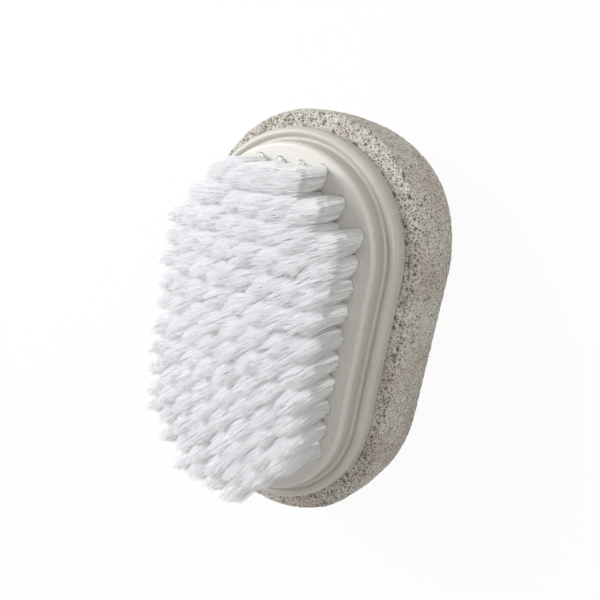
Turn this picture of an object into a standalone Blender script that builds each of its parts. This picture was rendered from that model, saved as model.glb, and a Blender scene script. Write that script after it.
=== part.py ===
# A two-sided foot brush: a pumice stone with a tufted plastic brush glued to its back.
# Metres, +Z up. The stone rubs at z = 0, the bristles point up and the long axis is X.
# The origin is the middle of the stone's rubbing face.

import math
import random

import bmesh
import bpy
from mathutils import Vector

# Space left between pieces that touch, and how far a cutter runs past what it cuts
seat_gap = 0.0003
cut_overrun = 0.0003

# Pumice stone
stone_length = 0.0950
stone_width = 0.0614
stone_thickness = 0.0215
stone_rub_edge = 0.0046
stone_back_edge = 0.0012
stone_side_bulge = 0.0004
stone_unevenness = 0.00015
outline_drift = 0.0013
# Where the sawn outline is drawn in, or fuller where negative: direction and spread in degrees,
# and the share of outline_drift
outline_shares = (
    (57, 21, 1.4),
    (112, 18, 0.3),
    (180, 20, 0.5),
    (210, 21, -1.0),
    (272, 24, -0.1),
    (335, 26, -0.6),
    (5, 16, -0.5),
)
# Unevenness of the sawn outline: waves round the stone, start in radians, share of stone_unevenness
ripple_shares = ((3, 1.0, 1.0), (7, 2.0, 0.6), (13, 0.0, 0.4))
drift_at_back_share = 0.8

# Brush base: foot flange, trough and deck
base_length = 0.0872
base_width = 0.0550
base_height = 0.0065
flange_height = 0.0034
flange_edge_radius = 0.0016
flange_foot_flare = 0.0002
trough_width = 0.0015
trough_depth = 0.0006
deck_inset = 0.0036
deck_edge_radius = 0.0010
deck_wall_draft = 0.0004
deck_thickness = 0.0017
side_wall = 0.0014

# Adhesive bed under the base
glue_thickness = 0.0008
glue_rim_width = 0.0022

# Tuft holes
row_pitch = 0.0054
column_pitch = 0.0054
hole_radius = 0.0015
hole_land = 0.0006

# Tufts, each with four strands
tuft_length = 0.0160
tuft_crown_drop = 0.0019
tuft_root_proud = 0.0002
tuft_gap = 0.0004
strand_gap = 0.0003
tip_wander = 0.00008
tip_height_wander = 0.0005
tip_draw_in_share = 0.04
shoulder_share = 0.87
apex_lean_share = 0.12
corner_fill_share = 0.24
strand_count = 4

# Facets
stone_facets = 72
base_facets = 72
arc_facets = 5
small_arc_facets = 3
tuft_facets = 2 * strand_count
nose_facets = 3
nose_share = 0.97
full_turn = 2 * math.pi

# Levels, from the floor up
stone_top = stone_thickness
base_bottom = stone_top + seat_gap
glue_top = base_bottom + glue_thickness
core_bottom = glue_top + seat_gap
deck_top = base_bottom + base_height
deck_under = deck_top - deck_thickness
core_top = deck_under - seat_gap
trough_level = base_bottom + flange_height - trough_depth

# Half lengths of the straight sides, and the radii of the round ends
stone_end = stone_width / 2
stone_face_end = stone_end - stone_side_bulge
stone_half_straight = (stone_length - stone_width) / 2
base_end = base_width / 2
base_half_straight = (base_length - base_width) / 2
deck_end = base_end - deck_inset
deck_flat_end = deck_end - deck_edge_radius
core_room_end = deck_end - side_wall
core_end = core_room_end - seat_gap
glue_room_end = base_end - glue_rim_width
glue_end = glue_room_end - seat_gap
tuft_root_radius = hole_radius - seat_gap
field_end = min(deck_flat_end - hole_radius - hole_land, core_end - tuft_root_radius)

finishes = {
    "pumice": ((0.56, 0.53, 0.49), 0.95),
    "ivory_plastic": ((0.76, 0.75, 0.69), 0.32),
    "cured_glue": ((0.72, 0.66, 0.50), 0.45),
    "white_nylon": ((0.86, 0.86, 0.88), 0.50),
}


def clear_scene():
    for thing in list(bpy.data.objects):
        bpy.data.objects.remove(thing, do_unlink=True)


def new_collection(name, hidden=False):
    made = bpy.data.collections.new(name)
    made.hide_render = hidden
    bpy.context.scene.collection.children.link(made)
    return made


def new_material(piece_name, finish):
    colour, roughness = finishes[finish]
    made = bpy.data.materials.new(piece_name + "_" + finish)
    made.use_nodes = True
    shader = made.node_tree.nodes["Principled BSDF"]
    shader.inputs["Base Color"].default_value = (*colour, 1)
    shader.inputs["Roughness"].default_value = roughness
    shader.inputs["Metallic"].default_value = 0
    made.diffuse_color = (*colour, 1)
    return made


def object_from(shape, name, collection, finish=None, smooth=True):
    """Turns a bmesh into an object; with no finish it is a helper for a Boolean."""
    bmesh.ops.recalc_face_normals(shape, faces=shape.faces)
    mesh = bpy.data.meshes.new(name)
    shape.to_mesh(mesh)
    shape.free()
    made = bpy.data.objects.new(name, mesh)
    collection.objects.link(made)
    if smooth:
        mesh.shade_smooth()
        mesh.set_sharp_from_angle(angle=math.radians(32))
    if finish:
        mesh.materials.append(new_material(name, finish))
    else:
        made.hide_render = True
        made.display_type = "WIRE"
    return made


def boolean(piece, other, operation):
    step = piece.modifiers.new(operation.lower() + "_" + other.name, "BOOLEAN")
    step.operation = operation
    step.object = other
    step.solver = "EXACT"


def arc(centre, radius, start, end, facets=arc_facets):
    """Points of an arc in a profile, as (distance out, height); angles in degrees."""
    points = []
    for step in range(facets + 1):
        angle = math.radians(start + (end - start) * step / facets)
        points.append((centre[0] + radius * math.cos(angle), centre[1] + radius * math.sin(angle)))
    return points


def oblong(profile, half_straight, facets):
    """Turns a profile, then parts the halves by the straight side. Both ends are closed flat."""
    shape = bmesh.new()
    half_step = math.pi / facets
    column = [
        shape.verts.new((out * math.cos(half_step), out * math.sin(half_step), height))
        for out, height in profile
    ]
    line = [shape.edges.new(pair) for pair in zip(column, column[1:])]
    bmesh.ops.spin(
        shape,
        geom=column + line,
        cent=(0, 0, 0),
        axis=(0, 0, 1),
        angle=full_turn,
        steps=facets,
        use_merge=True,
    )
    for vert in shape.verts:
        vert.co.x += math.copysign(half_straight, vert.co.x)
    open_edges = [edge for edge in shape.edges if edge.is_boundary]
    bmesh.ops.holes_fill(shape, edges=open_edges)
    return shape


def drawn_in(angle):
    """How far the stone's outline is drawn in at this direction."""
    drawn = 0
    for direction, spread, share in outline_shares:
        off = (math.degrees(angle) - direction + 180) % 360 - 180
        drawn += share * outline_drift * math.exp(-((off / spread) ** 2))
    for waves, start, share in ripple_shares:
        drawn += share * stone_unevenness * math.sin(waves * angle + start)
    return drawn


def stone_profile():
    rub_centre = stone_face_end - stone_rub_edge
    back_centre = stone_face_end - stone_back_edge
    profile = arc((back_centre, stone_top - stone_back_edge), stone_back_edge, 90, 0, small_arc_facets)
    middle = (stone_rub_edge + stone_top - stone_back_edge) / 2
    profile.append((stone_end, middle))
    profile += arc((rub_centre, stone_rub_edge), stone_rub_edge, 0, -90)
    return profile


def make_stone(collection):
    shape = oblong(stone_profile(), stone_half_straight, stone_facets)
    for vert in shape.verts:
        angle = math.atan2(vert.co.y, vert.co.x)
        height_share = vert.co.z / stone_top
        drift_share = 1 - height_share * (1 - drift_at_back_share)
        outward = Vector((math.cos(angle), math.sin(angle), 0))
        vert.co -= outward * drawn_in(angle) * drift_share
    return object_from(shape, "pumice_stone", collection, "pumice")


def base_profile():
    """From the deck's flat edge down the outside, under the rim and up into the core's room."""
    flange_end = base_end - flange_foot_flare
    crest = base_bottom + flange_height
    wall_foot = deck_end + deck_wall_draft
    trough_radius = trough_width / 2
    profile = arc((deck_flat_end, deck_top - deck_edge_radius), deck_edge_radius, 90, 0)
    trough_middle = (wall_foot + trough_radius, trough_level + trough_radius)
    profile += arc(trough_middle, trough_radius, 180, 315)
    flange_edge = (flange_end - flange_edge_radius, crest - flange_edge_radius)
    profile += arc(flange_edge, flange_edge_radius, 90, 0)
    profile.append((base_end, base_bottom))
    profile.append((glue_room_end, base_bottom))
    profile.append((glue_room_end, core_bottom))
    profile.append((core_room_end, core_bottom))
    profile.append((core_room_end, deck_under))
    return profile


def row_places():
    """The tuft holes that fit on the deck's flat top, row by row along X."""
    reach = base_half_straight + field_end
    row_count = 2 * math.floor(reach / row_pitch + 0.5)
    column_count = 2 * math.floor(field_end / column_pitch + 0.5)
    rows = []
    for row in range(row_count):
        x = (row - (row_count - 1) / 2) * row_pitch
        past_straight = max(0, abs(x) - base_half_straight)
        line = []
        for column in range(column_count):
            y = (column - (column_count - 1) / 2) * column_pitch
            if math.hypot(past_straight, y) <= field_end:
                line.append((x, y))
        if line:
            rows.append(line)
    return rows


def make_hole_cutter(rows, collection):
    shape = bmesh.new()
    reach = deck_thickness + 2 * cut_overrun
    for x, y in (place for line in rows for place in line):
        made = bmesh.ops.create_cone(
            shape,
            cap_ends=True,
            segments=tuft_facets,
            radius1=hole_radius,
            radius2=hole_radius,
            depth=reach,
        )
        middle = Vector((x, y, (deck_top + deck_under) / 2))
        bmesh.ops.translate(shape, verts=made["verts"], vec=middle)
    return object_from(shape, "tuft_holes", collection)


def make_base(rows, collection, helpers):
    shape = oblong(base_profile(), base_half_straight, base_facets)
    base = object_from(shape, "brush_base", collection, "ivory_plastic")
    boolean(base, make_hole_cutter(rows, helpers), "DIFFERENCE")
    return base


def make_glue(collection):
    profile = [(glue_end, glue_top), (glue_end, base_bottom)]
    shape = oblong(profile, base_half_straight, base_facets)
    return object_from(shape, "adhesive_bed", collection, "cured_glue")


def core_half_width(x):
    """Half the width of the core at this place along the brush."""
    past_straight = max(0, abs(x) - base_half_straight)
    return math.sqrt(max(0, core_end**2 - past_straight**2))


def core_slice(x, is_first, is_last):
    """The slice of the base's core that one row of tufts is bound in."""
    half = (row_pitch - seat_gap) / 2
    nose = base_half_straight + nose_share * core_end
    low = -nose if is_first else x - half
    high = nose if is_last else x + half
    stations = [low + (high - low) * step / nose_facets for step in range(nose_facets + 1)]
    outline = [(place, -core_half_width(place)) for place in stations]
    outline += [(place, core_half_width(place)) for place in reversed(stations)]
    shape = bmesh.new()
    floor = shape.faces.new([shape.verts.new((*point, core_bottom)) for point in outline])
    raised = bmesh.ops.extrude_face_region(shape, geom=[floor], use_keep_orig=True)
    top = [item for item in raised["geom"] if isinstance(item, bmesh.types.BMVert)]
    bmesh.ops.translate(shape, verts=top, vec=(0, 0, core_top - core_bottom))
    return shape


def crown_drop(x, y):
    """Tufts are trimmed to a shallow crown, lowest at the edge of the field."""
    along = x / (base_half_straight + field_end)
    across = y / field_end
    return tuft_crown_drop * (along**2 + across**2)


def add_tuft(shape, x, y, chance):
    """A packed round root that parts into four strands, each a flared, pointed shaft of four sides."""
    root_top = deck_top + tuft_root_proud
    root_foot = (core_bottom + core_top) / 2
    made = bmesh.ops.create_cone(
        shape,
        cap_ends=True,
        segments=tuft_facets,
        radius1=tuft_root_radius,
        radius2=tuft_root_radius,
        depth=root_top - root_foot,
    )
    bmesh.ops.translate(shape, verts=made["verts"], vec=(x, y, (root_top + root_foot) / 2))
    around = {face for vert in made["verts"] for face in vert.link_faces}
    cap = max(around, key=lambda face: face.calc_center_median().z)
    centre = bmesh.ops.poke(shape, faces=[cap])["verts"][0]
    spokes = sorted(centre.link_edges, key=lambda edge: spoke_angle(edge, centre))
    bmesh.ops.dissolve_edges(shape, edges=spokes[1::2])
    quarters = list(centre.link_faces)
    raised = bmesh.ops.extrude_discrete_faces(shape, faces=quarters)
    root = Vector((x, y, root_top))
    draw_in = 1 - tip_draw_in_share
    wander = [chance.uniform(-tip_wander, tip_wander) for _ in range(2)]
    tip_middle = Vector((x * draw_in + wander[0], y * draw_in + wander[1], 0))
    for strand in raised["faces"]:
        shape_strand(shape, strand, root, tip_middle, draw_in, chance)


def spoke_angle(edge, centre):
    along = edge.other_vert(centre).co - centre.co
    return round(math.degrees(math.atan2(along.y, along.x))) % 360


def shape_strand(shape, strand, root, tip_middle, draw_in, chance):
    trim = chance.uniform(-tip_height_wander, tip_height_wander)
    length = tuft_length - tuft_root_proud - crown_drop(root.x, root.y) + trim
    centre = strand.calc_center_median() - root
    side_x = math.copysign(1, centre.x)
    side_y = math.copysign(1, centre.y)
    reach_x = row_pitch * draw_in / 2 - tuft_gap / 2 - tip_wander
    reach_y = column_pitch * draw_in / 2 - tuft_gap / 2 - tip_wander
    flare_x = (reach_x - strand_gap / 2) / tuft_root_radius
    flare_y = (reach_y - strand_gap / 2) / tuft_root_radius
    for vert in strand.verts:
        off = vert.co - root
        at_corner = 2 * abs(off.x * off.y) / tuft_root_radius**2
        fill = 1 + corner_fill_share * at_corner
        vert.co.x = tip_middle.x + side_x * strand_gap / 2 + off.x * flare_x * fill
        vert.co.y = tip_middle.y + side_y * strand_gap / 2 + off.y * flare_y * fill
        vert.co.z = root.z + length * shoulder_share
    tip = bmesh.ops.poke(shape, faces=[strand])["verts"][0]
    tip.co.z = root.z + length
    tip.co.x += chance.uniform(-apex_lean_share, apex_lean_share) * reach_x
    tip.co.y += chance.uniform(-apex_lean_share, apex_lean_share) * reach_y


def make_row(number, row_count, line, collection, helpers):
    """One row of tufts, in one piece with the slice of core that binds its roots."""
    name = f"tuft_row_{number:02d}"
    chance = random.Random(number)
    tufts = bmesh.new()
    for x, y in line:
        add_tuft(tufts, x, y, chance)
    bundle = object_from(tufts, name + "_bundle", helpers)
    backing = core_slice(line[0][0], number == 1, number == row_count)
    row = object_from(backing, name, collection, "white_nylon", smooth=False)
    boolean(row, bundle, "UNION")
    return row


def main():
    clear_scene()
    parts = new_collection("pumice_brush")
    helpers = new_collection("cutters", hidden=True)
    rows = row_places()
    pieces = [make_stone(parts), make_glue(parts), make_base(rows, parts, helpers)]
    for number, line in enumerate(rows, start=1):
        pieces.append(make_row(number, len(rows), line, parts, helpers))
    middle = bpy.data.objects.new("brush_middle", None)
    parts.objects.link(middle)
    for piece in pieces:
        piece.parent = middle
    print(len(rows), "rows,", sum(len(line) for line in rows), "tufts")


main()
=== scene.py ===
import math
import random

import bmesh
import bpy
import numpy as np
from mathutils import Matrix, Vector, noise
from mathutils.kdtree import KDTree


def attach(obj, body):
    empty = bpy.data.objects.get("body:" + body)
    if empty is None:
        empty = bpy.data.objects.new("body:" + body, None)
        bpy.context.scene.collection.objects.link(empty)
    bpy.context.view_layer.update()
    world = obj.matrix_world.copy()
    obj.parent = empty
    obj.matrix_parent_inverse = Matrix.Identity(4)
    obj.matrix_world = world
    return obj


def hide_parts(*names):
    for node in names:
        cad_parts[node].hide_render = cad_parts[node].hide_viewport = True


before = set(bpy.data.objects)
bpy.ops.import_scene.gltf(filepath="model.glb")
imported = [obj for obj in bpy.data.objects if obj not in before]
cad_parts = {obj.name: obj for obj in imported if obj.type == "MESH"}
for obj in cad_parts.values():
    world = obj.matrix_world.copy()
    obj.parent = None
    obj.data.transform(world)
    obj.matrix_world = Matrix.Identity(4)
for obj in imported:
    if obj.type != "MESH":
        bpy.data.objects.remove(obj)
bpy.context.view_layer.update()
print("frame loaded:", len(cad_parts), "nodes")

fullTurn = 2 * math.pi
goldenAngle = math.pi * (3 - math.sqrt(5))


# Small helpers for meshes

def arcPoints(middle, radius, start, end, steps):
    # part of a profile, as (distance out, height); angles in degrees
    points = []
    for step in range(steps + 1):
        angle = math.radians(start + (end - start) * step / steps)
        points.append((middle[0] + radius * math.cos(angle), middle[1] + radius * math.sin(angle)))
    return points


def stretchedRound(profile, halfStraight, steps):
    # spins a profile, then parts the two halves by the straight side and closes both ends
    shape = bmesh.new()
    halfStep = math.pi / steps
    column = [shape.verts.new((out * math.cos(halfStep), out * math.sin(halfStep), height))
              for out, height in profile]
    line = [shape.edges.new(pair) for pair in zip(column, column[1:])]
    bmesh.ops.spin(shape, geom=column + line, cent=(0, 0, 0), axis=(0, 0, 1),
                   angle=fullTurn, steps=steps, use_merge=True)
    for vert in shape.verts:
        vert.co.x += math.copysign(halfStraight, vert.co.x)
    bmesh.ops.holes_fill(shape, edges=[edge for edge in shape.edges if edge.is_boundary])
    bmesh.ops.recalc_face_normals(shape, faces=shape.faces)
    return shape


def skinRings(shape, rings):
    # walls between rings of vertices, and both ends closed
    for low, high in zip(rings, rings[1:]):
        for side in range(len(low)):
            after = (side + 1) % len(low)
            shape.faces.new((low[side], low[after], high[after], high[side]))
    shape.faces.new(reversed(rings[0]))
    shape.faces.new(rings[-1])


def objectFrom(shape, name):
    mesh = bpy.data.meshes.new(name)
    shape.to_mesh(mesh)
    shape.free()
    made = bpy.data.objects.new(name, mesh)
    bpy.context.scene.collection.objects.link(made)
    return made


def bakedMesh(thing):
    # the mesh with its modifiers applied; the object itself goes
    view = bpy.context.evaluated_depsgraph_get()
    mesh = bpy.data.meshes.new_from_object(thing.evaluated_get(view))
    bpy.data.objects.remove(thing, do_unlink=True)
    return mesh


def placePiece(mesh, name, node):
    mesh.name = name
    piece = bpy.data.objects.new(name, mesh)
    bpy.context.scene.collection.objects.link(piece)
    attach(piece, "root")
    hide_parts(node)
    return piece


# Small helpers for materials

def newMaterial(name, settings):
    made = bpy.data.materials.new(name)
    made.use_nodes = True
    shader = made.node_tree.nodes["Principled BSDF"]
    for socket, value in settings.items():
        shader.inputs[socket].default_value = value
    return made, shader


def feed(material, socket, value):
    # value is another node's output, or else a number or a colour
    if isinstance(value, bpy.types.NodeSocket):
        material.node_tree.links.new(value, socket)
    else:
        socket.default_value = (*value, 1) if socket.type == "RGBA" else value


def addNode(material, kind, inputs=(), **settings):
    # settings go on the node, inputs are (socket, value)
    made = material.node_tree.nodes.new("ShaderNode" + kind)
    for name, value in settings.items():
        setattr(made, name, value)
    for socket, value in inputs:
        feed(material, made.inputs[socket], value)
    return made


def objectPlace(material):
    return addNode(material, "TexCoord").outputs["Object"]


def addNoise(material, where, scale, detail):
    return addNode(material, "TexNoise",
                   [("Vector", where), ("Scale", scale), ("Detail", detail)]).outputs["Fac"]


def addCells(material, where, scale, feature):
    return addNode(material, "TexVoronoi", [("Vector", where), ("Scale", scale)],
                   feature=feature).outputs["Distance"]


def addRange(material, value, start, end):
    # the range of value between the two numbers of start becomes the range of end
    return addNode(material, "MapRange", [
        ("Value", value), ("From Min", start[0]), ("From Max", start[1]),
        ("To Min", end[0]), ("To Max", end[1])]).outputs["Result"]


def heightShare(material, where, low, high):
    height = addNode(material, "SeparateXYZ", [("Vector", where)]).outputs["Z"]
    return addRange(material, height, (low, high), (0, 1))


def addRamp(material, factor, stops):
    ramp = addNode(material, "ValToRGB", [("Fac", factor)])
    while len(ramp.color_ramp.elements) < len(stops):
        ramp.color_ramp.elements.new(0.5)
    for element, (place, colour) in zip(ramp.color_ramp.elements, stops):
        element.position = place
        element.color = (*colour, 1)
    return ramp.outputs["Color"]


def mixColours(material, factor, first, second, blend="MIX"):
    mix = addNode(material, "Mix", data_type="RGBA", blend_type=blend)
    for socket, value in ((0, factor), (6, first), (7, second)):
        feed(material, mix.inputs[socket], value)
    return mix.outputs[2]


def addBump(material, height, setting, under=None):
    # setting is (strength, distance), under another bump's output
    strength, distance = setting
    bump = addNode(material, "Bump",
                   [("Strength", strength), ("Distance", distance), ("Height", height)])
    if under:
        feed(material, bump.inputs["Normal"], under)
    return bump.outputs["Normal"]


# Camera

cameraSetup = {
    "place": (0.0390, -0.0729, 0.1305),
    "turn": (-8.104, 34.261, -78.439),
    "lens": 34.95,
    "sensor": 36,
    "nearest": 0.005,
}


def makeCamera():
    data = bpy.data.cameras.new("camera")
    data.lens = cameraSetup["lens"]
    data.sensor_width = cameraSetup["sensor"]
    data.clip_start = cameraSetup["nearest"]
    camera = bpy.data.objects.new("camera", data)
    camera.location = cameraSetup["place"]
    camera.rotation_euler = [math.radians(angle) for angle in cameraSetup["turn"]]
    bpy.context.scene.collection.objects.link(camera)
    bpy.context.scene.camera = camera


# Pumice stone

stone = {
    "length": 0.0950,
    "width": 0.0614,
    "thickness": 0.0215,
    "rubEdge": 0.0046,
    "backEdge": 0.0012,
    "sideBulge": 0.0004,
    "outlineSteps": 216,
    "outlineDrift": 0.0013,
    # direction, spread, share of the drift
    "outline": ((57, 21, 1.4), (112, 18, 0.3), (180, 20, 0.5), (210, 21, -1.0),
                (272, 24, -0.1), (335, 26, -0.6), (5, 16, -0.5)),
    "unevenness": 0.00015,
    # waves round the stone, start in radians, share of the unevenness
    "ripples": ((3, 1.0, 1.0), (7, 2.0, 0.6), (13, 0.0, 0.4)),
    "backShare": 0.8,
    "backSteps": 6,
    "rubSteps": 10,
    "voxel": 0.00032,
    # radius range, number over the whole stone, how far the middle of the bubble lies outside
    "pores": ((0.00032, 0.00050, 6500, 0.15),
              (0.00022, 0.00032, 14000, 0.05),
              (0.00016, 0.00022, 16000, 0.0)),
    "flatFrom": 0.6,  # upward part of the normal from which a face counts as cut flat
    "sideShare": 0.4,
    "faceShare": 0.65,
    "denseBand": 0.0022,
    "deepest": 0.0005,
    "seed": 11,
    "roughSurface": 0.00010,
    # noise scale, share of roughSurface
    "roughNoise": ((900, 1.0), (2600, 0.5)),
    "shader": {"Roughness": 0.95, "Specular IOR Level": 0.2},
    "blotchScale": 90,
    "blotchDetail": 3,
    "blotches": ((0.33, (0.655, 0.56, 0.50)), (0.48, (0.70, 0.672, 0.61)),
                 (0.7, (0.765, 0.75, 0.71))),
    # the light network of cell walls is the foam's own; the dark pits between them are painted
    # shade
    "cellScale": 1500,
    "cellMix": 0.92,
    "cellPitShade": ((0.03, (1.0, 1.0, 1.0)), (0.11, (0.70, 0.69, 0.67)),
                  (0.32, (0.30, 0.285, 0.26))),
    "cellBump": (0.6, 0.00012),
    "grainScale": 3100,
    "grainMix": 0.60,
    "grainPitShade": ((0.10, (0.50, 0.48, 0.45)), (0.32, (1.0, 1.0, 1.0))),
    "grainBump": (0.5, 0.00006),
    # painted shade: a dark colour laid into the pores, deeper pores darker
    "poreShade": (0.09, 0.077, 0.063),
    "poreShadeTones": ((0.15, (0, 0, 0)), (0.85, (1, 1, 1))),
}


def stoneDrawnIn(angle):
    drawn = 0
    for direction, spread, share in stone["outline"]:
        off = (math.degrees(angle) - direction + 180) % 360 - 180
        drawn += share * stone["outlineDrift"] * math.exp(-((off / spread) ** 2))
    for waves, start, share in stone["ripples"]:
        drawn += share * stone["unevenness"] * math.sin(waves * angle + start)
    return drawn


def stoneBlank():
    end = stone["width"] / 2
    faceEnd = end - stone["sideBulge"]
    top, rubEdge, backEdge = stone["thickness"], stone["rubEdge"], stone["backEdge"]
    profile = arcPoints((faceEnd - backEdge, top - backEdge), backEdge, 90, 0, stone["backSteps"])
    profile.append((end, (rubEdge + top - backEdge) / 2))
    profile += arcPoints((faceEnd - rubEdge, rubEdge), rubEdge, 0, -90, stone["rubSteps"])
    shape = stretchedRound(profile, (stone["length"] - stone["width"]) / 2, stone["outlineSteps"])
    for vert in shape.verts:
        angle = math.atan2(vert.co.y, vert.co.x)
        share = 1 - vert.co.z / top * (1 - stone["backShare"])
        vert.co -= Vector((math.cos(angle), math.sin(angle), 0)) * stoneDrawnIn(angle) * share
    blank = objectFrom(shape, "stone blank")
    remesh = blank.modifiers.new("even mesh", "REMESH")
    remesh.mode = "VOXEL"
    remesh.voxel_size = stone["voxel"]
    return bakedMesh(blank)


def bubbleShare(place, normal):
    # the cut faces open more bubbles than the worn sides, most of all close to the base
    if abs(normal[2]) < stone["flatFrom"]:
        return stone["sideShare"]
    beyond = math.hypot(max(abs(place[0]) - baseHalfStraight, 0), place[1]) - baseEnd
    return 1 if beyond < stone["denseBand"] else stone["faceShare"]


def vectorsOf(items, name):
    found = np.empty(len(items) * 3, np.float32)
    items.foreach_get(name, found)
    return found.reshape(-1, 3).astype(float)


def openPores(mesh):
    # each bubble that meets the surface pushes the vertices it holds down to its own wall
    count = len(mesh.vertices)
    places = vectorsOf(mesh.vertices, "co")
    outward = vectorsOf(mesh.vertex_normals, "vector")
    tree = KDTree(count)
    for index, place in enumerate(places):
        tree.insert(place, index)
    tree.balance()
    chance = random.Random(stone["seed"])
    depth = np.zeros(count)
    push = np.zeros((count, 3))
    for smallest, largest, number, out in stone["pores"]:
        for _ in range(number):
            start = chance.randrange(count)
            radius = chance.uniform(smallest, largest)
            if chance.random() > bubbleShare(places[start], outward[start]):
                continue
            found = np.array([item[1] for item in tree.find_range(places[start], radius)])
            normal = outward[start]
            off = places[found] - places[start]
            along = off @ normal
            aside = np.maximum(radius ** 2 - (off ** 2).sum(1) + along ** 2, 0)
            sunk = np.sqrt(aside) - out * radius + along
            deeper = sunk > depth[found]
            depth[found[deeper]] = sunk[deeper]
            push[found[deeper]] = -normal * sunk[deeper, None]
    rough = np.array([sum(share * noise.noise(Vector(place) * scale)
                          for scale, share in stone["roughNoise"]) for place in places])
    push += outward * (rough * stone["roughSurface"])[:, None]
    moved = places + push
    moved[:, 2] = np.clip(moved[:, 2], 0, None)
    mesh.vertices.foreach_set("co", moved.astype(np.float32).ravel())
    # the depth share, which paints shade into the pores
    poreShade = mesh.attributes.new("poreShade", "FLOAT", "POINT")
    poreShade.data.foreach_set("value", np.clip(depth / stone["deepest"], 0, 1).astype(np.float32))
    mesh.update()


def pumiceMaterial():
    made, shader = newMaterial("pumice foam", stone["shader"])
    where = objectPlace(made)
    blotch = addNoise(made, where, stone["blotchScale"], stone["blotchDetail"])
    cells = addCells(made, where, stone["cellScale"], "DISTANCE_TO_EDGE")
    grain = addCells(made, where, stone["grainScale"], "F1")
    body = addRamp(made, blotch, stone["blotches"])
    # painted shade in the pits of the cells and of the fine grain
    pitShade = addRamp(made, cells, stone["cellPitShade"])
    body = mixColours(made, stone["cellMix"], body, pitShade, "MULTIPLY")
    finePitShade = addRamp(made, grain, stone["grainPitShade"])
    body = mixColours(made, stone["grainMix"], body, finePitShade, "MULTIPLY")
    # painted shade in the pores, by how deep they sink
    poreShade = addNode(made, "Attribute", attribute_name="poreShade").outputs["Fac"]
    sunk = addRamp(made, poreShade, stone["poreShadeTones"])
    body = mixColours(made, sunk, body, stone["poreShade"])
    feed(made, shader.inputs["Base Color"], body)
    low = addBump(made, cells, stone["cellBump"])
    feed(made, shader.inputs["Normal"], addBump(made, grain, stone["grainBump"], low))
    return made


def makeStone():
    mesh = stoneBlank()
    openPores(mesh)
    mesh.materials.clear()
    mesh.materials.append(pumiceMaterial())
    mesh.shade_smooth()
    placePiece(mesh, "pumice_block", "pumice_stone")
    print("stone:", len(mesh.polygons), "faces")


# Brush base: foot flange, trough and deck with the tuft holes

base = {
    "length": 0.0872,
    "width": 0.0550,
    "height": 0.0065,
    # space between pieces that touch, and how far the hole cutter runs past the deck
    "gap": 0.0003,
    "flangeHeight": 0.0034,
    "flangeEdge": 0.0016,
    "footFlare": 0.0002,
    "footBreak": 0.0001,
    "troughDepth": 0.0006,
    "shoulder": 0.0010,
    "ridgeOut": 0.0022,
    "deckInset": 0.0036,
    "deckEdge": 0.0010,
    "wallDraft": 0.0004,
    "deckThickness": 0.0017,
    "sideWall": 0.0014,
    "rimWidth": 0.0022,
    "glueThickness": 0.0008,
    "steps": 192,
    "arcSteps": 10,
    "rowPitch": 0.0054,
    "holeRadius": 0.0015,
    "holeLand": 0.0006,
    "holeSides": 28,
    "holeBreak": 0.00012,
    "sharpFrom": 35,
    "shader": {"Specular IOR Level": 0.45, "Subsurface Weight": 0.12,
               "Subsurface Radius": (1.0, 0.8, 0.55), "Subsurface Scale": 0.0012},
    "cloudScale": 45,
    "cloudDetail": 4,
    "cloudTones": ((0.3, (0.634, 0.618, 0.575)), (0.55, (0.66, 0.642, 0.602)),
                   (0.8, (0.682, 0.665, 0.63))),
    # painted shade: the flange darker than the deck, by height from the crest of the flange to the
    # deck
    "flangeShadeTones": ((0.6, (0.815, 0.815, 0.80)), (1.0, (1.0, 1.0, 1.0))),
    "wipeScale": 220,
    "wipeDetail": 5,
    "wipeRange": (0.3, 0.7),
    "shine": (0.24, 0.38),
    "grainScale": 1400,
    "grainDetail": 2,
    "grainBump": (0.12, 0.00002),
}
baseEnd = base["width"] / 2
baseHalfStraight = (base["length"] - base["width"]) / 2
baseBottom = stone["thickness"] + base["gap"]
deckTop = baseBottom + base["height"]
deckUnder = deckTop - base["deckThickness"]
deckEnd = baseEnd - base["deckInset"]
coreRoomEnd = deckEnd - base["sideWall"]
coreBottom = baseBottom + (base["glueThickness"] + base["gap"])
coreTop = deckUnder - base["gap"]
coreEnd = coreRoomEnd - base["gap"]
fieldEnd = min(deckEnd - base["deckEdge"] - base["holeRadius"] - base["holeLand"],
               coreEnd - base["holeRadius"] + base["gap"])


def tuftRows():
    # the holes that fit on the flat of the deck, row by row along X
    pitch = base["rowPitch"]
    rowCount = 2 * math.floor((baseHalfStraight + fieldEnd) / pitch + 0.5)
    columnCount = 2 * math.floor(fieldEnd / pitch + 0.5)
    rows = []
    for row in range(rowCount):
        x = (row - (rowCount - 1) / 2) * pitch
        past = max(0, abs(x) - baseHalfStraight)
        line = [(column - (columnCount - 1) / 2) * pitch for column in range(columnCount)]
        line = [(x, y) for y in line if math.hypot(past, y) <= fieldEnd]
        if line:
            rows.append(line)
    return rows


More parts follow.
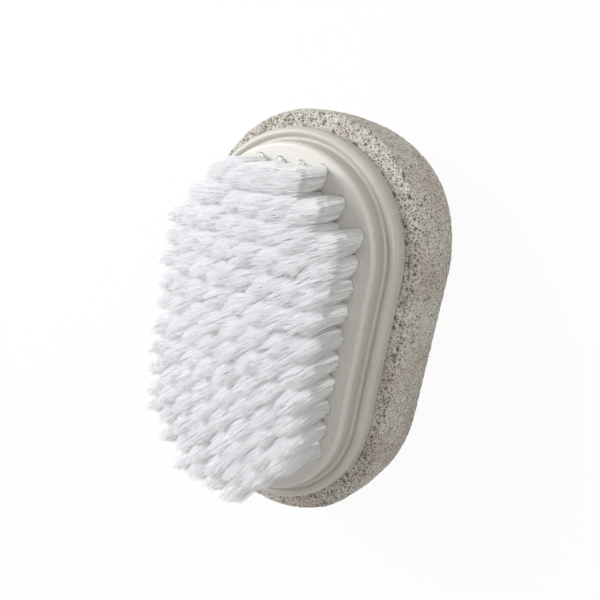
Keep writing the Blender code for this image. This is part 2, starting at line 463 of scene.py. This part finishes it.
def baseProfile():
    steps = base["arcSteps"]
    crest = baseBottom + base["flangeHeight"]
    edge = base["deckEdge"]
    profile = arcPoints((deckEnd - edge, deckTop - edge), edge, 90, 0, steps)
    # the trough runs smoothly into the wall on one side and the shoulder of the flange on the other
    depth, shoulder, ridge = base["troughDepth"], base["shoulder"], deckEnd + base["ridgeOut"]
    gap = ridge - deckEnd - base["wallDraft"]
    half = gap + depth
    radius = half - math.sqrt(half ** 2 - gap ** 2 - (shoulder - depth) ** 2 + shoulder ** 2)
    trough = (deckEnd + base["wallDraft"] + radius, crest - depth + radius)
    turn = math.degrees(math.atan2(crest - shoulder - trough[1], ridge - trough[0]))
    profile += arcPoints(trough, radius, 180, 360 + turn, steps)
    profile += arcPoints((ridge, crest - shoulder), shoulder, 180 + turn, 90, steps)
    flangeEnd = baseEnd - base["footFlare"]
    for step in range(1, steps + 1):
        angle = math.pi / 2 * step / steps
        profile.append((ridge + (flangeEnd - ridge) * math.sin(angle),
                        crest - base["flangeEdge"] * (1 - math.cos(angle))))
    profile.append((baseEnd, baseBottom + base["footBreak"]))
    profile.append((baseEnd - base["footBreak"], baseBottom))
    rimEnd = baseEnd - base["rimWidth"]
    profile += [(rimEnd, baseBottom), (rimEnd, coreBottom),
                (coreRoomEnd, coreBottom), (coreRoomEnd, deckUnder)]
    return profile


def holeCutter(rows):
    shape = bmesh.new()
    sides, radius, edge = base["holeSides"], base["holeRadius"], base["holeBreak"]
    levels = ((deckUnder - base["gap"], radius), (deckTop - edge, radius),
              (deckTop + edge, radius + 2 * edge))
    for x, y in (place for line in rows for place in line):
        rings = [[shape.verts.new((x + out * math.cos(fullTurn * side / sides),
                                   y + out * math.sin(fullTurn * side / sides), height))
                  for side in range(sides)] for height, out in levels]
        skinRings(shape, rings)
    return objectFrom(shape, "hole cutter")


def ivoryMaterial():
    made, shader = newMaterial("ivory plastic", base["shader"])
    where = objectPlace(made)
    cloud = addNoise(made, where, base["cloudScale"], base["cloudDetail"])
    tint = addRamp(made, cloud, base["cloudTones"])
    # painted shade: the flange darker than the deck, by height
    rise = heightShare(made, where, baseBottom + base["flangeHeight"], deckTop)
    flangeShade = addRamp(made, rise, base["flangeShadeTones"])
    feed(made, shader.inputs["Base Color"], mixColours(made, 1.0, tint, flangeShade, "MULTIPLY"))
    wipe = addNoise(made, where, base["wipeScale"], base["wipeDetail"])
    feed(made, shader.inputs["Roughness"], addRange(made, wipe, base["wipeRange"], base["shine"]))
    grain = addNoise(made, where, base["grainScale"], base["grainDetail"])
    feed(made, shader.inputs["Normal"], addBump(made, grain, base["grainBump"]))
    return made


def makeBase(rows, ivory):
    blank = stretchedRound(baseProfile(), baseHalfStraight, base["steps"])
    moulding = objectFrom(blank, "moulding")
    cutter = holeCutter(rows)
    cut = moulding.modifiers.new("tuft holes", "BOOLEAN")
    cut.operation = "DIFFERENCE"
    cut.object = cutter
    cut.solver = "EXACT"
    mesh = bakedMesh(moulding)
    bpy.data.objects.remove(cutter, do_unlink=True)
    mesh.materials.clear()
    mesh.materials.append(ivory)
    mesh.shade_smooth()
    mesh.set_sharp_from_angle(angle=math.radians(base["sharpFrom"]))
    piece = placePiece(mesh, "brush_plate", "brush_base")
    even = piece.modifiers.new("even shading", "WEIGHTED_NORMAL")
    even.keep_sharp = True
    print("base:", len(mesh.polygons), "faces")


# Bristles: each row of tufts with the slice of the core that binds its roots

bristles = {
    "seed": 3,
    # at the -X end of the field, and at its +X end
    "combed": (131, 114),
    "dome": (0.0044, 0.0025),
    "tipLean": ((-0.0022, 0.0006), (-0.0008, 0.0006)),
    "clumpPull": (0.18, 0.20),
    "clumpStep": (0.00022, 0.00026),
    "softUp": (2.0, 3.7),
    # along X and along Y
    "rootShift": (-0.00006, 0.00010),
    "tipDrawIn": (0.93, 0.95),
    "tipShift": (0.0006, -0.0006),
    "tipTilt": (-0.0006, 0.0001),
    # along and across the way the tips are combed
    "fill": (1.20, 1.02),
    "domeShares": (0.35, 1.0),
    # one tuft
    "length": 0.0163,
    "longest": 0.0164,
    "buried": 0.0026,
    "crownDrop": 0.0019,
    "rootRadius": 0.00142,
    "leanPower": 3,
    "edgeDrawIn": 0.0008,
    "edgePower": 3,
    "lean": 0.0008,
    "leanScale": 70,
    "stray": 0.0008,
    "lengthStray": 0.0006,
    "strayScale": 430,
    "strayLevel": 0.001,  # keeps this noise apart from that of the lean
    "cornerShare": 0.55,
    "flare": 2.3,
    "bulge": 0.50,
    "bulgeFlare": 25,
    "tuck": 0.10,
    "tuckFrom": 0.55,
    "domePower": 2.2,
    # the strands of a tuft
    "strands": 360,
    "points": 6,
    "spacing": 1.4,
    "crowding": 0.46,
    "turnStray": 0.3,
    "thick": 0.000072,
    "rootThinness": 0.85,
    "fullThickFrom": 0.5,
    "tipThinness": 0.6,
    "lengthWander": 0.00036,
    "tipWander": 0.00014,
    "wave": 0.00005,
    "waves": (1, 2.4),
    "clumps": 9,
    "clumpsFrom": 0.2,
    "softOut": 0.35,
    "softMixed": 0.22,
    # the body inside a tuft
    "bodyShare": 0.86,
    "bodySunk": 0.0029,
    "bodyTaper": 0.22,
    "bodyTaperPower": 3,
    "bodySides": 36,
    "bodyRings": 9,
    "capRings": 6,
    "bodyRoot": 0.98,
    "bodyFlutes": 0.06,
    "bodyJag": 0.0004,
    "capJag": 0.0004 / 3,
    # the slice of the core
    "noseShare": 0.97,
    "sliceSteps": 8,
    # the whole row
    "sharpFrom": 60,
    "shader": {"Roughness": 0.42, "Specular IOR Level": 0.35,
               "Sheen Weight": 0.8, "Sheen Roughness": 0.6},
    # by height, from the deck to the tips: painted shade, darker and warmer at the roots, and
    # painted light, bluer white at the tips
    "rootShadeTipLight": ((0.0, (0.91, 0.91, 0.89)), (0.4, (0.945, 0.945, 0.935)),
              (0.8, (0.955, 0.957, 0.985))),
    "streakScale": 420,
    "streakDetail": 2,
    "streakTones": ((0.3, (0.94, 0.94, 0.95)), (0.7, (1.0, 1.0, 1.0))),
}


def coreHalfWidth(x):
    past = max(0, abs(x) - baseHalfStraight)
    return math.sqrt(max(0, coreEnd ** 2 - past ** 2))


def coreSlice(x, isFirst, isLast):
    half = (base["rowPitch"] - base["gap"]) / 2
    nose = baseHalfStraight + bristles["noseShare"] * coreEnd
    low = -nose if isFirst else x - half
    high = nose if isLast else x + half
    steps = bristles["sliceSteps"]
    stations = [low + (high - low) * step / steps for step in range(steps + 1)]
    outline = [(place, -coreHalfWidth(place)) for place in stations]
    outline += [(place, coreHalfWidth(place)) for place in reversed(stations)]
    shape = bmesh.new()
    floor = shape.faces.new([shape.verts.new((*point, coreBottom)) for point in outline])
    raised = bmesh.ops.extrude_face_region(shape, geom=[floor], use_keep_orig=True)
    top = [item for item in raised["geom"] if isinstance(item, bmesh.types.BMVert)]
    bmesh.ops.translate(shape, verts=top, vec=(0, 0, coreTop - coreBottom))
    bmesh.ops.recalc_face_normals(shape, faces=shape.faces)
    return shape


def crownDrop(x, y):
    along = x / (baseHalfStraight + fieldEnd)
    across = y / fieldEnd
    return bristles["crownDrop"] * (along ** 2 + across ** 2)


def squareCorner(angle):
    # how much further a tuft reaches towards the corners of its square
    return (1 / np.maximum(abs(np.cos(angle)), abs(np.sin(angle)))) ** bristles["cornerShare"]


def opened(share):
    # a tuft bulges just above its hole, opens on its way up and draws in again at its tip
    slow = 1 - (1 - share) ** bristles["flare"]
    fast = 1 - (1 - share) ** bristles["bulgeFlare"]
    tucked = np.maximum(0, share - bristles["tuckFrom"]) / (1 - bristles["tuckFrom"])
    return (slow + (fast - slow) * bristles["bulge"]) * (1 - bristles["tuck"] * tucked ** 2)


def between(ends, x):
    # a value that changes from the -X end of the field to its +X end
    first, last = np.array(ends)
    return first + (last - first) * (0.5 + 0.5 * x / (baseHalfStraight + fieldEnd))


def combing(x):
    # the directions along and across the way the tips are combed
    angle = math.radians(between(bristles["combed"], x))
    return np.array(((math.cos(angle), math.sin(angle)), (-math.sin(angle), math.cos(angle))))


def tuftFrame(x, y):
    # middle of the tips, half the width there and the length
    drift = noise.noise_vector(Vector((x, y, 0)) * bristles["leanScale"]) * bristles["lean"]
    stray = noise.noise_vector(Vector((x, y, bristles["strayLevel"])) * bristles["strayScale"])
    inward = np.array((math.copysign(max(abs(x) - baseHalfStraight, 0), x), y)) / fieldEnd
    inward = inward * np.hypot(*inward) ** bristles["edgePower"] * bristles["edgeDrawIn"]
    middle = np.array((x, y)) * bristles["tipDrawIn"] + (drift.x, drift.y)
    middle = middle + bristles["tipShift"] - inward
    middle = middle + np.array((stray.x, stray.y)) * bristles["stray"]
    reach = base["rowPitch"] / 2
    length = bristles["length"] - crownDrop(x, y) + stray.z * bristles["lengthStray"]
    return middle, reach, length


def domeFall(spot, x):
    # the dome of a tuft is long and shallow the way it is combed, and steep across
    fall = np.abs(spot @ combing(x).T) ** bristles["domePower"] @ bristles["domeShares"]
    return between(bristles["dome"], x) * fall


def stretched(spot, x):
    # a tuft reaches further the way it is combed than across
    return spot @ combing(x).T * bristles["fill"] @ combing(x)


def addBody(shape, x, y, chance):
    # the packed, fluted inside of a tuft, which the loose ends stand out of
    middle, reach, length = tuftFrame(x, y)
    sides, rings, share = bristles["bodySides"], bristles["bodyRings"], bristles["bodyShare"]
    flutes = 1 + chance.normal(0, bristles["bodyFlutes"], sides)
    jags = chance.normal(0, bristles["bodyJag"], sides)
    levels = [(-1, bristles["bodyRoot"]), (0, bristles["bodyRoot"])]
    for step in range(1, rings):
        taper = bristles["bodyTaper"] * (step / rings) ** bristles["bodyTaperPower"]
        levels.append((step / rings, share * (1 - taper)))
    share, cap = share * (1 - bristles["bodyTaper"]), bristles["capRings"]
    levels += [(1, share * math.cos(step * math.pi / (2 * cap))) for step in range(cap)]
    skin = []
    for along, out in levels:
        ring = []
        for side in range(sides):
            angle = fullTurn * side / sides
            fluted = out * (flutes[side] if along > 0 else 1)
            spot = np.array((math.cos(angle), math.sin(angle))) * fluted
            root = spot * bristles["rootRadius"] + bristles["rootShift"] + (x, y)
            tip = middle + stretched(spot, x) * squareCorner(angle) * reach
            place = root + (tip - root) * opened(max(0, along))
            place = place + between(bristles["tipLean"], x) * max(0, along) ** bristles["leanPower"]
            rise = length - bristles["bodySunk"] - domeFall(spot, x) + spot @ bristles["tipTilt"]
            rise = rise + jags[side]
            if along == 1:
                rise = rise + chance.normal(0, bristles["capJag"])
            height = deckTop + rise * along if along >= 0 else deckTop - bristles["buried"]
            ring.append(shape.verts.new((place[0], place[1], height)))
        skin.append(ring)
    skinRings(shape, skin)


def tuftStrands(x, y, chance):
    # corners, faces and soft normals of one tuft's strands, each a four-sided tapered tube
    middle, reach, length = tuftFrame(x, y)
    count, steps = bristles["strands"], bristles["points"]
    out = ((np.arange(count) + 0.5) / count) ** bristles["crowding"]
    turnStray = bristles["turnStray"]
    angle = np.arange(count) * goldenAngle + chance.uniform(-turnStray, turnStray, count)
    spot = np.stack((np.cos(angle), np.sin(angle)), 1) * out[:, None]
    clumpCount = bristles["clumps"]
    turn = chance.uniform(0, fullTurn, clumpCount)
    clumpOut = chance.uniform(bristles["clumpsFrom"], 1, (clumpCount, 1)) ** 0.5
    clumps = np.stack((np.cos(turn), np.sin(turn)), 1) * clumpOut
    nearest = ((spot[:, None] - clumps[None]) ** 2).sum(2).argmin(1)
    pull = (clumps[nearest] - spot) * between(bristles["clumpPull"], x) * reach
    pull = pull + between(bristles["tipLean"], x)
    root = spot * bristles["rootRadius"] + bristles["rootShift"] + (x, y)
    tip = middle + stretched(spot, x) * squareCorner(angle)[:, None] * reach
    tip = tip + chance.normal(0, bristles["tipWander"], (count, 2))
    rise = length - domeFall(spot, x) + spot @ bristles["tipTilt"]
    rise = rise + chance.normal(0, bristles["lengthWander"], count)
    rise = rise + chance.uniform(-1, 1, clumpCount)[nearest] * between(bristles["clumpStep"], x)
    rise = np.minimum(rise, bristles["longest"])
    swing = chance.normal(0, bristles["wave"], (count, 1, 2))
    start = chance.uniform(0, fullTurn, (count, 1))
    turns = chance.uniform(*bristles["waves"], (count, 1)) * fullTurn
    share = np.linspace(0, 1, steps) ** bristles["spacing"]
    flat = root[:, None] + (tip - root)[:, None] * opened(share)[None, :, None]
    flat = flat + swing * (share * np.sin(start + turns * share))[:, :, None]
    flat = flat + pull[:, None] * (share ** bristles["leanPower"])[None, :, None]
    height = deckTop + rise[:, None] * share[None]
    line = np.concatenate((flat, height[:, :, None]), 2)
    foot = np.concatenate((root, np.full((count, 1), deckTop - bristles["buried"])), 1)
    line = np.concatenate((foot[:, None], line), 1)
    filled = np.minimum(1, share / bristles["fullThickFrom"])
    thick = bristles["rootThinness"] + (1 - bristles["rootThinness"]) * filled
    thick[-1] = bristles["tipThinness"]
    thick = np.concatenate(([thick[0]], thick)) * bristles["thick"]
    quarter = np.arange(4) * fullTurn / 4
    around = np.stack((np.cos(quarter), np.sin(quarter), quarter * 0), 1)
    corners = line[:, :, None] + thick[None, :, None, None] * around[None, None]
    soft = np.broadcast_to(around, corners.shape).copy()
    soft[..., :2] += (spot * bristles["softOut"])[:, None, None]
    soft[..., 2] += between(bristles["softUp"], x)
    soft += chance.normal(0, bristles["softMixed"], (count, 1, 1, 3))
    soft /= np.linalg.norm(soft, axis=3, keepdims=True)
    first = (np.arange(count) * (steps + 1) * 4)[:, None, None]
    ring = (np.arange(steps) * 4)[None, :, None]
    low, after = first + ring + np.arange(4), first + ring + (np.arange(4) + 1) % 4
    walls = np.stack((low, after, after + 4, low + 4), 3).reshape(-1, 4)
    ends = first[:, 0] + steps * 4 + np.arange(4)
    return corners.reshape(-1, 3), np.concatenate((walls, ends)), soft.reshape(-1, 3)


def nylonMaterial():
    made, shader = newMaterial("white nylon", bristles["shader"])
    where = objectPlace(made)
    rise = heightShare(made, where, deckTop, deckTop + bristles["length"])
    # painted shade at the roots and painted light at the tips, by height
    paintedShadeAndLight = addRamp(made, rise, bristles["rootShadeTipLight"])
    stripe = addNoise(made, where, bristles["streakScale"], bristles["streakDetail"])
    streak = addRamp(made, stripe, bristles["streakTones"])
    feed(made, shader.inputs["Base Color"], mixColours(made, 1.0, paintedShadeAndLight, streak, "MULTIPLY"))
    return made


def makeBristles(rows, ivory):
    noise.seed_set(bristles["seed"])  # without it noise_vector follows the clock
    nylon = nylonMaterial()
    for number, line in enumerate(rows, start=1):
        chance = np.random.default_rng(bristles["seed"] * 100 + number)
        shape = coreSlice(line[0][0], number == 1, number == len(rows))
        inSlice = len(shape.faces)
        for x, y in line:
            addBody(shape, x, y, chance)
        shape.verts.index_update()
        corners = [np.array([vert.co for vert in shape.verts])]
        faces = [[vert.index for vert in face.verts] for face in shape.faces]
        soft = [np.zeros_like(corners[0])]
        shape.free()
        total = len(corners[0])
        for x, y in line:
            points, quads, normals = tuftStrands(x, y, chance)
            corners.append(points)
            faces += (quads + total).tolist()
            soft.append(normals)
            total += len(points)
        mesh = bpy.data.meshes.new("bristles")
        mesh.from_pydata(np.concatenate(corners), [], faces)
        mesh.materials.append(nylon)
        mesh.materials.append(ivory)
        for face in mesh.polygons[:inSlice]:
            face.material_index = 1
        mesh.shade_smooth()
        mesh.set_sharp_from_angle(angle=math.radians(bristles["sharpFrom"]))
        mesh.normals_split_custom_set_from_vertices(np.concatenate(soft))
        placePiece(mesh, f"bristle_row_{number:02d}", f"tuft_row_{number:02d}")
    print("bristles:", len(rows), "rows,", len(mesh.polygons), "faces in the last")


# Adhesive bed between the stone and the base

glue = {
    "shader": {"Roughness": 0.42},
    "cloudScale": 160,
    "cloudDetail": 4,
    "cloudTones": ((0.35, (0.74, 0.68, 0.52)), (0.65, (0.80, 0.76, 0.64))),
    "bubbleScale": 900,
    "bubbleBump": (0.3, 0.0001),
}


def finishGlue():
    made, shader = newMaterial("cured glue", glue["shader"])
    where = objectPlace(made)
    cloud = addNoise(made, where, glue["cloudScale"], glue["cloudDetail"])
    feed(made, shader.inputs["Base Color"], addRamp(made, cloud, glue["cloudTones"]))
    bubbles = addCells(made, where, glue["bubbleScale"], "SMOOTH_F1")
    feed(made, shader.inputs["Normal"], addBump(made, bubbles, glue["bubbleBump"]))
    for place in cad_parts["adhesive_bed"].material_slots:
        place.material = made
    print("adhesive bed finished")


# Floor, lamps and surroundings

studio = {
    "floorSize": 3.0,
    "paper": {"Base Color": (0.85, 0.85, 0.85, 1), "Roughness": 0.9,
              "Specular IOR Level": 0.1},
    "floorGlow": 0.93,
    "world": (0.26, 0.255, 0.247),
    "seenWorld": (1, 1, 1),
    # place, size, power, colour
    "lamps": (((0.20, 0.46, 0.42), 0.45, 3.95, (0.98, 0.99, 1.0)),
              ((0.17, -0.42, 0.60), 0.5, 2.1, (1.0, 0.99, 0.975))),
}


def whiteForCamera(owner):
    # 1 where a ray comes from the camera, a glossy or a clear surface
    path = addNode(owner, "LightPath")
    seen = path.outputs["Is Camera Ray"]
    for name in ("Is Glossy Ray", "Is Transmission Ray"):
        either = addNode(owner, "Math", [(0, seen), (1, path.outputs[name])],
                         operation="MAXIMUM")
        seen = either.outputs[0]
    return seen


def makeFloor():
    shape = bmesh.new()
    bmesh.ops.create_grid(shape, x_segments=1, y_segments=1, size=studio["floorSize"] / 2)
    floor = objectFrom(shape, "floor")
    made, paper = newMaterial("white paper", studio["paper"])
    share = addNode(made, "Math", [(0, whiteForCamera(made)), (1, studio["floorGlow"])],
                    operation="MULTIPLY")
    glow = addNode(made, "Emission")
    mix = addNode(made, "MixShader", [(0, share.outputs[0]), (1, paper.outputs["BSDF"]),
                                      (2, glow.outputs["Emission"])])
    feed(made, made.node_tree.nodes["Material Output"].inputs["Surface"], mix.outputs["Shader"])
    floor.data.materials.append(made)


def makeLamps():
    for number, (place, size, power, colour) in enumerate(studio["lamps"], start=1):
        data = bpy.data.lights.new(f"soft lamp {number}", "AREA")
        data.shape = "DISK"
        data.size = size
        data.energy = power
        data.color = colour
        lamp = bpy.data.objects.new(data.name, data)
        lamp.location = place
        lamp.rotation_euler = (-Vector(place)).to_track_quat("-Z", "Y").to_euler()
        bpy.context.scene.collection.objects.link(lamp)


def makeWorld():
    world = bpy.data.worlds.new("surroundings")
    bpy.context.scene.world = world
    world.use_nodes = True
    room = world.node_tree.nodes["Background"]
    feed(world, room.inputs["Color"], studio["world"])
    white = addNode(world, "Background", [("Color", studio["seenWorld"])])
    mix = addNode(world, "MixShader", [(0, whiteForCamera(world)), (1, room.outputs["Background"]),
                                       (2, white.outputs["Background"])])
    feed(world, world.node_tree.nodes["World Output"].inputs["Surface"], mix.outputs["Shader"])


makeCamera()
makeStone()
tuftLines = tuftRows()
ivoryPlastic = ivoryMaterial()
makeBase(tuftLines, ivoryPlastic)
makeBristles(tuftLines, ivoryPlastic)
finishGlue()
makeFloor()
makeLamps()
makeWorld()
bpy.context.scene.view_settings.view_transform = "Standard"
print("studio ready")
